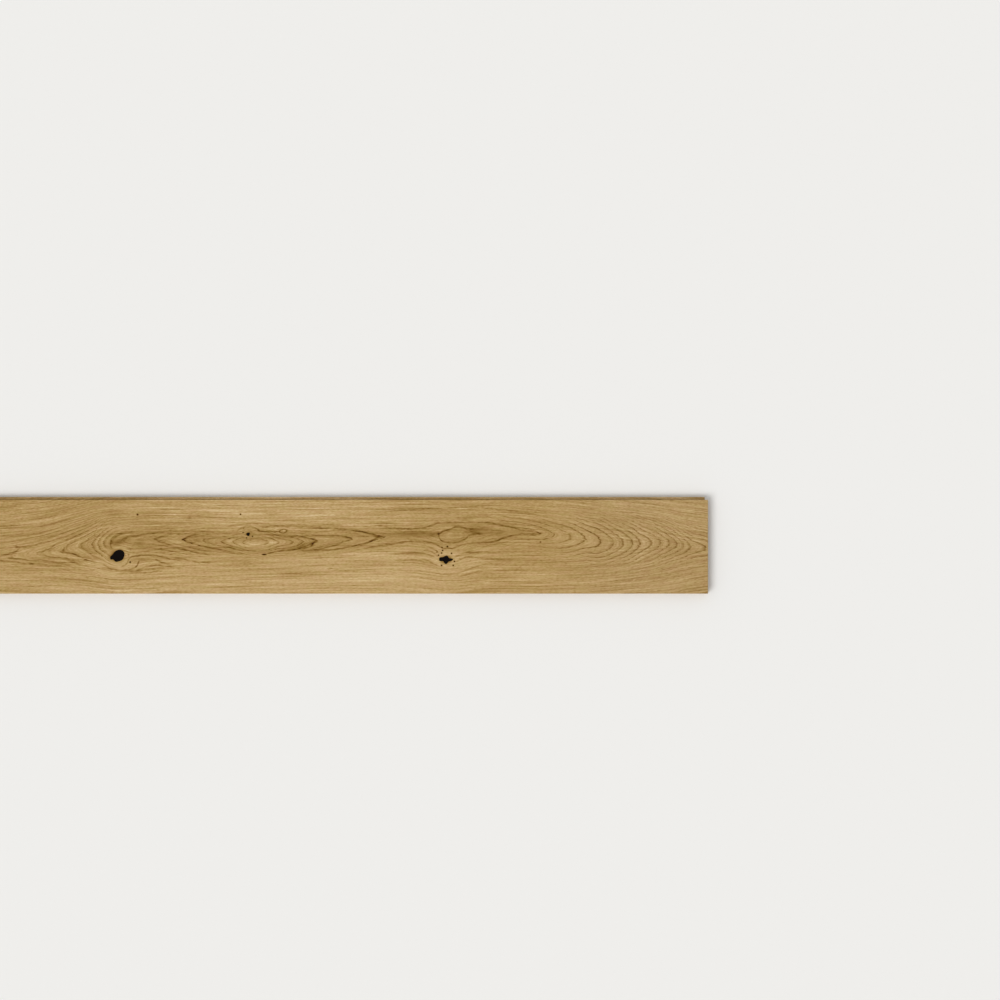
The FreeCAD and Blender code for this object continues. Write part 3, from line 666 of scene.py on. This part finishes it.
def small_marks():
    """All the small dark and light places, with the hooks as a chain of narrow ones."""
    marks = [*FLECKS, *LARGE_KNOT_SHADES, *SMALL_KNOT_SHADES, *DARK_TIPS]
    marks += [(*place, *PIN_STAIN_AND_HOLE_SHADE) for place in PIN_STAINS_AND_HOLE_SHADE]
    for strength, *places in HOOKS:
        for (x, y), (x2, y2) in zip(places, places[1:]):
            # Each is longer than half its own step, so that they run into one line.
            length = math.hypot(x2 - x, y2 - y) * 0.6 + HOOK_WIDTH
            turn = math.degrees(math.atan2(y2 - y, x2 - x))
            marks.append(((x + x2) / 2, (y + y2) / 2, length, HOOK_WIDTH, turn, strength))
    return marks


def draw_long_lines(tree, board):
    """How dark the single long lines make a point."""
    x, y = add(tree, "SeparateXYZ", (board.real,)).node.outputs[:2]
    wobble = streak_noise(tree, board.real, *WOBBLES)
    y = add(tree, "Math", (wobble, WOBBLE_REACH, y), operation="MULTIPLY_ADD")
    y = add(tree, "Math", (y, WOBBLE_REACH / 2), operation="SUBTRACT")
    total = 0.0
    for places in LONG_LINES:
        course = [(along, across) for along, across, dark in places]
        middle = add(tree, "FloatCurve", {"Value": x}, curve=course)
        darkness = [(along, dark) for along, across, dark in places]
        dark = add(tree, "FloatCurve", {"Value": x}, curve=darkness)
        gap = add(tree, "Math", (y, middle), operation="SUBTRACT")
        gap = add(tree, "Math", (gap,), operation="ABSOLUTE")
        line = add(tree, "MapRange", {0: gap, 2: LONG_LINE_REACH, 3: 1.0, 4: 0.0},
                   interpolation_type="SMOOTHSTEP")
        total = add(tree, "Math", (line, dark, total), operation="MULTIPLY_ADD")
    # They are in the face's own layer of wood, and don't come out at the back.
    shown = add(tree, "MapRange", {0: board.depth, 1: 1.0, 2: 5.0, 3: 1.0, 4: 0.0})
    for factor in (board.varied, shown):
        total = add(tree, "Math", (total, factor), operation="MULTIPLY")
    return total


def stain_and_shade_wood(tree, board, tone):
    """Dark rims and pale collars round the knots, and the single marks in the wood, with painted shade
    among them in the pin holes and the drying check.
    """
    for rim in board.rims:
        collar = add(tree, "FloatCurve", {"Value": rim}, curve=KNOT_COLLAR)
        tone = add(tree, "Math", (tone, collar), operation="ADD")
    for x, y, length, width, turn, strength in small_marks():
        spot = add(tree, "Mapping", {
            "Vector": board.real, "Location": (x, y, FACE_HEIGHT), "Rotation": (0, 0, math.radians(turn)),
            "Scale": (length, width, STAIN_DEPTH),
        }, vector_type="TEXTURE")
        fade = add(tree, "TexGradient", {0: spot}, output=1, gradient_type="QUADRATIC_SPHERE")
        tone = add(tree, "Math", (fade, strength, tone), operation="MULTIPLY_ADD")
    return tone


def open_end_grain(tree, board, tone):
    """Sawn ends: open pores drink the light, and pale rays stand upright through the rings."""
    ray = (0, 1 / RAY_SIZE[0], 1 / RAY_SIZE[1])
    ray = add(tree, "VectorMath", (board.place, ray), operation="MULTIPLY")
    ray = add(tree, "TexNoise", {"Vector": ray, "Scale": 1.0, "Detail": 1.0})
    ray = add(tree, "MapRange", {0: ray, 1: 0.55, 2: 0.7, 3: -0.12, 4: -0.02})
    pore = (0, 1 / END_PORES_APART, 1 / END_PORES_APART)
    pore = add(tree, "VectorMath", (board.place, pore), operation="MULTIPLY")
    pore = add(tree, "TexVoronoi", {"Vector": pore, "Scale": 1.0})
    pore = add(tree, "MapRange", {0: pore, 1: 0.1, 2: 0.3, 3: -0.2, 4: 0.0})
    opened = add(tree, "Math", (ray, pore), operation="ADD")
    return add(tree, "Math", (board.end, opened, tone), operation="MULTIPLY_ADD")


def oak_material(finish):
    """Flat-sawn European oak, planed and oiled on its face: satin, with a cathedral figure.

    The late wood makes thin dark lines and the pores short dashes. The back, the sides and the ends
    are bare from the moulder: paler, dull, and dark only on the end grain.
    """
    material, tree = new_material("oiled_oak")
    board = map_board(tree)
    ring, limb = count_rings(tree, board, finish.ring_width / MM)
    line, zone = draw_rings(tree, board, ring, limb)
    grain = run_grain(tree, board)
    streaks = draw_streaks(tree, board, grain, ring, zone)
    pore = streak_noise(tree, grain, *PORES)
    pore = add(tree, "MapRange", {0: pore, 1: 0.55, 2: 0.7}, interpolation_type="SMOOTHSTEP")
    tone = ground_tone(tree, board)
    for drawn, strength in (
        (line, -finish.ring_contrast),
        (streaks, finish.streak_contrast),
        (pore, -PORE_DARKNESS),
        (draw_long_lines(tree, board), -finish.line_contrast),
    ):
        tone = add(tree, "Math", (drawn, strength, tone), operation="MULTIPLY_ADD")
    tone = stain_and_shade_wood(tree, board, tone)
    tone = open_end_grain(tree, board, tone)
    colour = add(tree, "ValToRGB", (tone,), stops=OAK_COLOURS)
    tint = streak_noise(tree, grain, *TINTS)
    tint = add(tree, "MapRange", {0: tint, 3: TINT_HUES[0], 4: TINT_HUES[1]})
    colour = add(tree, "HueSaturation", {"Color": colour, "Hue": tint})
    bare = add(tree, "Math", (1.0, board.oiled), operation="SUBTRACT")
    colour = add(tree, "HueSaturation", {
        "Color": colour, "Fac": bare, "Saturation": 0.85, "Value": 1.07,
    })
    # Towards the grooved end the wood turns a little greyer.
    grey_end = add(tree, "MapRange", {0: board.x, 1: 780.0, 2: 950.0})
    colour = add(tree, "HueSaturation", {
        "Color": colour, "Fac": grey_end, "Saturation": 0.96, "Value": 1.01,
    })
    roughness = add(tree, "MapRange", {0: board.oiled, 3: finish.bare_roughness, 4: finish.oiled_roughness})
    roughness = add(tree, "Math", (pore, 0.12, roughness), operation="MULTIPLY_ADD")
    bump = add(tree, "Bump", {"Strength": 0.35, "Distance": finish.pore_depth, "Height": pore}, invert=True)
    shader = add(tree, "BsdfPrincipled", {
        "Base Color": colour, "Roughness": roughness, "Normal": bump,
        "IOR": 1.5, "Specular IOR Level": 0.12,
    })
    add(tree, "OutputMaterial", {"Surface": shader})
    return material


def filler_material(filler):
    """Two-part knot filler, pressed in warm and scraped flush: near black, dull, faintly pitted, with
    painted shade darkening the pits.
    """
    material, tree = new_material("knot_filler")
    place = add(tree, "TexCoord", output="Object")
    place = add(tree, "VectorMath", {0: place, "Scale": 1 / MM}, operation="SCALE")
    pits = add(tree, "TexNoise", {"Vector": place, "Scale": 1 / PITS_APART, "Detail": 3.0})
    # The pits are painted darker, as shade, where the bump sinks them.
    colour = add(tree, "Mix", {0: pits, 6: (*filler.pit_shade_colour, 1), 7: (*filler.colour, 1)},
                 output=2, data_type="RGBA")
    roughness = add(tree, "MapRange", {0: pits, 1: 0.3, 2: 0.7, 3: 0.5, 4: 0.75})
    bump = add(tree, "Bump", {"Strength": 0.4, "Distance": 0.1 * MM, "Height": pits})
    shader = add(tree, "BsdfPrincipled", {
        "Base Color": colour, "Roughness": roughness, "Normal": bump,
        "IOR": 1.55, "Specular IOR Level": 0.04,
    })
    add(tree, "OutputMaterial", {"Surface": shader})
    return material


def trowel_filler(node, filler):
    """One knot's filler: scraped a little below the face, then sunk in the middle as it set."""
    low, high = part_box(node)
    middle = ((low[0] + high[0]) / 2, (low[1] + high[1]) / 2, high[2])
    mesh = bpy.data.objects[node].data.copy()
    mesh.materials.clear()
    piece = bpy.data.objects.new(node.replace("knot_filler", "trowelled_filler"), mesh)
    bpy.context.scene.collection.objects.link(piece)
    bpy.ops.object.select_all(action="DESELECT")
    bpy.context.view_layer.objects.active = piece
    piece.select_set(True)
    bpy.ops.object.mode_set(mode="EDIT")
    bpy.ops.mesh.select_mode(type="FACE")
    bpy.ops.mesh.select_all(action="SELECT")
    bpy.ops.mesh.remove_doubles(threshold=MM / 1000)
    bpy.ops.mesh.dissolve_limited(angle_limit=math.radians(1))
    shape = bmesh.from_edit_mesh(mesh)
    for face in shape.faces:
        face.select_set(face.normal.z > 0.9)
    bmesh.update_edit_mesh(mesh)
    sunk = 0.0
    size = 1.0
    for share in (0.94, 0.82, 0.62, 0.36):
        # The surface sags as a shallow bowl does: flat in the middle, steepest at the rim.
        level = filler.sag * (1 - share ** 2)
        bpy.ops.mesh.inset(thickness=0, depth=0)
        bpy.ops.transform.resize(value=(share / size, share / size, 1), center_override=middle)
        bpy.ops.transform.translate(value=(0, 0, sunk - level))
        sunk = level
        size = share
    bpy.ops.object.mode_set(mode="OBJECT")
    bpy.ops.object.shade_smooth_by_angle(angle=math.radians(40))
    return piece


class OakFinish(PropertyGroup):
    """How the oak was finished."""

    ring_contrast: FloatProperty(
        name="Ring contrast", description="How much darker the late wood is than the early wood",
        default=0.27, min=0, max=0.6, subtype="FACTOR",
    )
    line_contrast: FloatProperty(
        name="Line contrast", description="How dark the single long lines are",
        default=1.2, min=0, max=3,
    )
    streak_contrast: FloatProperty(
        name="Streak contrast", description="How strongly the fibres streak the wood",
        default=1.0, min=0, max=2,
    )
    ring_width: FloatProperty(
        name="Ring width", description="From one growth ring to the next, down into the board",
        default=2.7 * MM, min=0.5 * MM, max=8 * MM, unit="LENGTH",
    )
    pore_depth: FloatProperty(
        name="Pore depth", description="How deep the open pores are",
        default=0.08 * MM, min=0, max=0.5 * MM, unit="LENGTH",
    )
    oiled_roughness: FloatProperty(
        name="Oiled roughness", description="Roughness of the oiled face",
        default=0.5, min=0, max=1, subtype="FACTOR",
    )
    bare_roughness: FloatProperty(
        name="Bare roughness", description="Roughness of the bare back, sides and ends",
        default=0.78, min=0, max=1, subtype="FACTOR",
    )


class KnotFiller(PropertyGroup):
    """The filler in the dead knots."""

    colour: FloatVectorProperty(
        name="Colour", description="Colour of the filler",
        default=linear("#100a07")[:3], min=0, max=1, subtype="COLOR",
    )
    # Painted shade in the filler's pits.
    pit_shade_colour: FloatVectorProperty(
        name="Pit colour", description="Colour in the filler's pits",
        default=linear("#0b0504")[:3], min=0, max=1, subtype="COLOR",
    )
    sag: FloatProperty(
        name="Sag", description="How far the filler's middle has sunk below its rim",
        default=0.35 * MM, min=0, max=2 * MM, unit="LENGTH",
    )


class Studio(PropertyGroup):
    """The floor, the lights and the camera."""

    floor_colour: FloatVectorProperty(
        name="Floor colour", description="Colour of the floor under the board",
        default=linear("#f2f1ee")[:3], min=0, max=1, subtype="COLOR",
    )
    sky_strength: FloatProperty(
        name="Sky", description="Even light from all round",
        default=0.6, min=0,
    )
    sun_strength: FloatProperty(
        name="Sun", description="Strength of the broad main light",
        default=1.45, min=0,
    )
    sun_breadth: FloatProperty(
        name="Sun breadth", description="How broad the main light is, for soft shadows",
        default=0.6, min=0, max=math.pi, subtype="ANGLE",
    )
    lens: FloatProperty(
        name="Lens", description="Focal length: a long one, for a flat view from straight above",
        default=200, min=20, max=400, unit="CAMERA",
    )


class FLOORBOARD_OT_oil_plank(Operator):
    """Give the plank its oiled oak"""

    bl_idname = "floorboard.oil_plank"
    bl_label = "Oil the Plank"

    def execute(self, context):
        materials = bpy.data.objects["plank"].data.materials
        materials.clear()
        materials.append(oak_material(context.scene.floorboard_oak))
        return {"FINISHED"}


class FLOORBOARD_OT_fill_knots(Operator):
    """Trowel the filler into the three dead knots"""

    bl_idname = "floorboard.fill_knots"
    bl_label = "Fill the Knots"

    def execute(self, context):
        filler = context.scene.floorboard_filler
        material = filler_material(filler)
        for node, *_ in KNOTS:
            piece = trowel_filler(node, filler)
            piece.data.materials.append(material)
            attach(piece, "root")
            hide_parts(node)
        return {"FINISHED"}


class FLOORBOARD_OT_set_studio(Operator):
    """Lay the pale floor, light it softly and look straight down on the board"""

    bl_idname = "floorboard.set_studio"
    bl_label = "Set Up the Studio"

    def execute(self, context):
        studio = context.scene.floorboard_studio
        bpy.ops.object.select_all(action="DESELECT")
        bpy.ops.mesh.primitive_plane_add(size=FLOOR_SIZE)
        floor = context.object
        floor.name = "studio_floor"
        material, tree = new_material("pale_floor")
        shader = add(tree, "BsdfPrincipled", {"Base Color": (*studio.floor_colour, 1), "Roughness": 0.8})
        add(tree, "OutputMaterial", {"Surface": shader})
        floor.data.materials.append(material)

        scene = context.scene
        scene.view_settings.view_transform = "Standard"
        scene.world = bpy.data.worlds.new("studio_sky")
        scene.world.use_nodes = True
        sky = scene.world.node_tree.nodes["Background"].inputs
        sky["Color"].default_value = (1, 1, 1, 1)
        sky["Strength"].default_value = studio.sky_strength
        turn = (math.radians(SUN_TURN[0]), math.radians(SUN_TURN[1]), 0)
        bpy.ops.object.light_add(type="SUN", location=(0, 0, 3), rotation=turn)
        sun = context.object.data
        sun.energy = studio.sun_strength
        sun.angle = studio.sun_breadth

        bpy.ops.object.camera_add(rotation=(0, 0, 0))
        camera = context.object
        camera.data.lens = studio.lens
        camera.data.clip_end = 100
        height = PICTURE_WIDTH * studio.lens / camera.data.sensor_width + FACE_HEIGHT
        camera.location = [value * MM for value in (*PICTURE_MIDDLE, height)]
        scene.camera = camera
        return {"FINISHED"}


class FLOORBOARD_PT_panel(Panel):
    """Everything that dresses the floorboard"""

    bl_label = "Floorboard"
    bl_space_type = "VIEW_3D"
    bl_region_type = "UI"
    bl_category = "Floorboard"

    def draw(self, context):
        scene = context.scene
        for title, group, operator in (
            ("Oak", scene.floorboard_oak, FLOORBOARD_OT_oil_plank),
            ("Filler", scene.floorboard_filler, FLOORBOARD_OT_fill_knots),
            ("Studio", scene.floorboard_studio, FLOORBOARD_OT_set_studio),
        ):
            box = self.layout.box()
            box.label(text=title)
            for name in group.__annotations__:
                box.prop(group, name)
            box.operator(operator.bl_idname)


CLASSES = (
    OakFinish, KnotFiller, Studio,
    FLOORBOARD_OT_oil_plank, FLOORBOARD_OT_fill_knots, FLOORBOARD_OT_set_studio, FLOORBOARD_PT_panel,
)


def register():
    for item in CLASSES:
        bpy.utils.register_class(item)
    bpy.types.Scene.floorboard_oak = PointerProperty(type=OakFinish)
    bpy.types.Scene.floorboard_filler = PointerProperty(type=KnotFiller)
    bpy.types.Scene.floorboard_studio = PointerProperty(type=Studio)


def unregister():
    del bpy.types.Scene.floorboard_studio
    del bpy.types.Scene.floorboard_filler
    del bpy.types.Scene.floorboard_oak
    for item in reversed(CLASSES):
        bpy.utils.unregister_class(item)


def main():
    register()
    bpy.ops.floorboard.oil_plank()
    bpy.ops.floorboard.fill_knots()
    bpy.ops.floorboard.set_studio()


if __name__ == "__main__":
    main()
